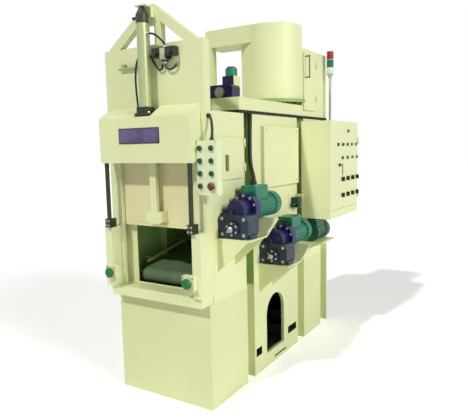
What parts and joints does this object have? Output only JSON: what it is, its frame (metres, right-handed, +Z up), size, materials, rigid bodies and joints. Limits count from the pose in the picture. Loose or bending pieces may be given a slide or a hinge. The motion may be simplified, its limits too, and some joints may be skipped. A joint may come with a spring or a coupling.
{
  "type": "conveyor sandblasting machine",
  "caption": "Conveyor sandblasting machine with a pneumatic lift door, belt, geared motors, dust separator, filter box and a control cabinet",
  "frame": {"origin": "on the floor at the middle of the base", "axes": "+Z up; -Y the loading front; +X the side with the drives and the control cabinet"},
  "size_m": [1.043, 2.1143, 2.553],
  "materials": {
    "cream": "satin",
    "black_steel": "satin",
    "rubber": "matte",
    "steel": "brushed",
    "pole": "gloss",
    "red_lens": "gloss",
    "green_lens": "gloss",
    "clear_lens": "gloss",
    "gear_blue": "satin",
    "motor_teal": "satin",
    "green_plastic": "gloss",
    "red_plastic": "gloss",
    "black_plastic": "gloss"
  },
  "bodies": {
    "machine": {"base_housing": "cream", "chamber_shell": "cream", "front_frame": "cream", "hood_cover": "cream", "gable_frame": "cream", "cylinder_barrel": "black_steel", "guide_rods": "black_steel", "guide_blocks": "black_steel", "air_valve": "black_steel", "air_hoses": "rubber", "button_box": "cream", "separator_drum": "cream", "transfer_duct": "cream", "plenum_box": "cream", "plenum_clamps": "rubber", "filter_box": "cream", "tower_pole": "pole", "lens_red": "red_lens", "lens_green": "green_lens", "lens_clear": "clear_lens", "control_cabinet": "cream", "motor_shelves": "cream", "gearbox_front": "gear_blue", "motor_front": "motor_teal", "gearbox_middle": "gear_blue", "motor_middle": "motor_teal", "motor_rear": "motor_teal", "gearmotor_top": "gear_blue", "service_cover": "cream", "power_cables": "rubber", "abrasive_hopper": "steel", "conveyor_belt": "rubber"},
    "lift": {"lift_door": "cream", "door_yoke": "cream", "piston_rod": "steel"},
    "drive_roller_body": {"drive_roller": "steel"},
    "tail_roller_body": {"tail_roller": "steel"},
    "nozzle_shaft_body": {"nozzle_shaft": "steel"},
    "access_door_body": {"access_door": "cream"},
    "filter_door_body": {"filter_door": "cream"},
    "palm_button_left_body": {"palm_button_left": "green_plastic"},
    "palm_button_right_body": {"palm_button_right": "green_plastic"},
    "estop_button_body": {"estop_button": "red_plastic"},
    "push_button_1_body": {"push_button_1": "green_plastic"},
    "push_button_2_body": {"push_button_2": "green_plastic"},
    "push_button_3_body": {"push_button_3": "green_plastic"},
    "push_button_4_body": {"push_button_4": "green_plastic"},
    "push_button_5_body": {"push_button_5": "green_plastic"},
    "push_button_6_body": {"push_button_6": "green_plastic"},
    "push_button_7_body": {"push_button_7": "green_plastic"},
    "selector_1_body": {"selector_1": "black_plastic"},
    "selector_2_body": {"selector_2": "black_plastic"},
    "selector_3_body": {"selector_3": "black_plastic"},
    "selector_4_body": {"selector_4": "black_plastic"},
    "selector_5_body": {"selector_5": "black_plastic"},
    "selector_6_body": {"selector_6": "black_plastic"},
    "selector_7_body": {"selector_7": "black_plastic"},
    "selector_8_body": {"selector_8": "black_plastic"},
    "cabinet_leaf": {"cabinet_door": "cream", "pilot_lamps": "black_plastic"}
  },
  "joints": [
    {"name": "door_lift", "type": "slide", "parent": "machine", "child": "lift", "axis": [0, 0, 1], "range_m": [-0.395, 0]},
    {"name": "drive_roller_turn", "type": "hinge", "parent": "machine", "child": "drive_roller_body", "pos_m": [0, -0.265, 0.876], "axis": [1, 0, 0], "continuous": true},
    {"name": "tail_roller_turn", "type": "hinge", "parent": "machine", "child": "tail_roller_body", "pos_m": [0, -0.835, 0.776], "axis": [1, 0, 0], "continuous": true},
    {"name": "nozzle_shaft_turn", "type": "hinge", "parent": "machine", "child": "nozzle_shaft_body", "pos_m": [0, -0.769, 1.133], "axis": [1, 0, 0], "continuous": true},
    {"name": "access_door_swing", "type": "hinge", "parent": "machine", "child": "access_door_body", "pos_m": [0.3825, -0.5396, 1.549], "axis": [0, 0, 1], "range_deg": [0, 90]},
    {"name": "filter_door_swing", "type": "hinge", "parent": "machine", "child": "filter_door_body", "pos_m": [0.3825, 0.6704, 2.125], "axis": [0, 0, 1], "range_deg": [0, 100]},
    {"name": "cabinet_door_swing", "type": "hinge", "parent": "machine", "child": "cabinet_leaf", "pos_m": [0.6475, 0.9765, 1.422], "axis": [0, 0, 1], "range_deg": [0, 105]},
    {"name": "palm_left_press", "type": "slide", "parent": "machine", "child": "palm_button_left_body", "axis": [0, 1, 0], "range_m": [0, 0.008], "stiffness_N_per_m": 900, "springref_m": -0.002},
    {"name": "palm_right_press", "type": "slide", "parent": "machine", "child": "palm_button_right_body", "axis": [0, 1, 0], "range_m": [0, 0.008], "stiffness_N_per_m": 900, "springref_m": -0.002},
    {"name": "estop_press", "type": "slide", "parent": "machine", "child": "estop_button_body", "axis": [0, 1, 0], "range_m": [0, 0.005], "stiffness_N_per_m": 900, "springref_m": -0.002},
    {"name": "push_1_press", "type": "slide", "parent": "machine", "child": "push_button_1_body", "axis": [0, 1, 0], "range_m": [0, 0.004], "stiffness_N_per_m": 600, "springref_m": -0.002},
    {"name": "push_2_press", "type": "slide", "parent": "machine", "child": "push_button_2_body", "axis": [0, 1, 0], "range_m": [0, 0.004], "stiffness_N_per_m": 600, "springref_m": -0.002},
    {"name": "push_3_press", "type": "slide", "parent": "machine", "child": "push_button_3_body", "axis": [0, 1, 0], "range_m": [0, 0.004], "stiffness_N_per_m": 600, "springref_m": -0.002},
    {"name": "push_4_press", "type": "slide", "parent": "machine", "child": "push_button_4_body", "axis": [0, 1, 0], "range_m": [0, 0.004], "stiffness_N_per_m": 600, "springref_m": -0.002},
    {"name": "push_5_press", "type": "slide", "parent": "machine", "child": "push_button_5_body", "axis": [0, 1, 0], "range_m": [0, 0.004], "stiffness_N_per_m": 600, "springref_m": -0.002},
    {"name": "push_6_press", "type": "slide", "parent": "machine", "child": "push_button_6_body", "axis": [0, 1, 0], "range_m": [0, 0.004], "stiffness_N_per_m": 600, "springref_m": -0.002},
    {"name": "push_7_press", "type": "slide", "parent": "machine", "child": "push_button_7_body", "axis": [0, 1, 0], "range_m": [0, 0.004], "stiffness_N_per_m": 600, "springref_m": -0.002},
    {"name": "selector_1_turn", "type": "hinge", "parent": "cabinet_leaf", "child": "selector_1_body", "pos_m": [0.642, 0.58032, 1.34065], "axis": [1, 0, 0], "range_deg": [-45, 45]},
    {"name": "selector_2_turn", "type": "hinge", "parent": "cabinet_leaf", "child": "selector_2_body", "pos_m": [0.642, 0.70025, 1.34065], "axis": [1, 0, 0], "range_deg": [-45, 45]},
    {"name": "selector_3_turn", "type": "hinge", "parent": "cabinet_leaf", "child": "selector_3_body", "pos_m": [0.642, 0.82018, 1.34065], "axis": [1, 0, 0], "range_deg": [-45, 45]},
    {"name": "selector_4_turn", "type": "hinge", "parent": "cabinet_leaf", "child": "selector_4_body", "pos_m": [0.642, 0.94011, 1.34065], "axis": [1, 0, 0], "range_deg": [-45, 45]},
    {"name": "selector_5_turn", "type": "hinge", "parent": "cabinet_leaf", "child": "selector_5_body", "pos_m": [0.642, 0.58032, 1.20983], "axis": [1, 0, 0], "range_deg": [-45, 45]},
    {"name": "selector_6_turn", "type": "hinge", "parent": "cabinet_leaf", "child": "selector_6_body", "pos_m": [0.642, 0.70025, 1.20983], "axis": [1, 0, 0], "range_deg": [-45, 45]},
    {"name": "selector_7_turn", "type": "hinge", "parent": "cabinet_leaf", "child": "selector_7_body", "pos_m": [0.642, 0.82018, 1.20983], "axis": [1, 0, 0], "range_deg": [-45, 45]},
    {"name": "selector_8_turn", "type": "hinge", "parent": "cabinet_leaf", "child": "selector_8_body", "pos_m": [0.642, 0.94011, 1.20983], "axis": [1, 0, 0], "range_deg": [-45, 45]}
  ],
  "couplings": [
    {"joint": "tail_roller_turn", "follows": "drive_roller_turn", "ratio": 1}
  ]
}
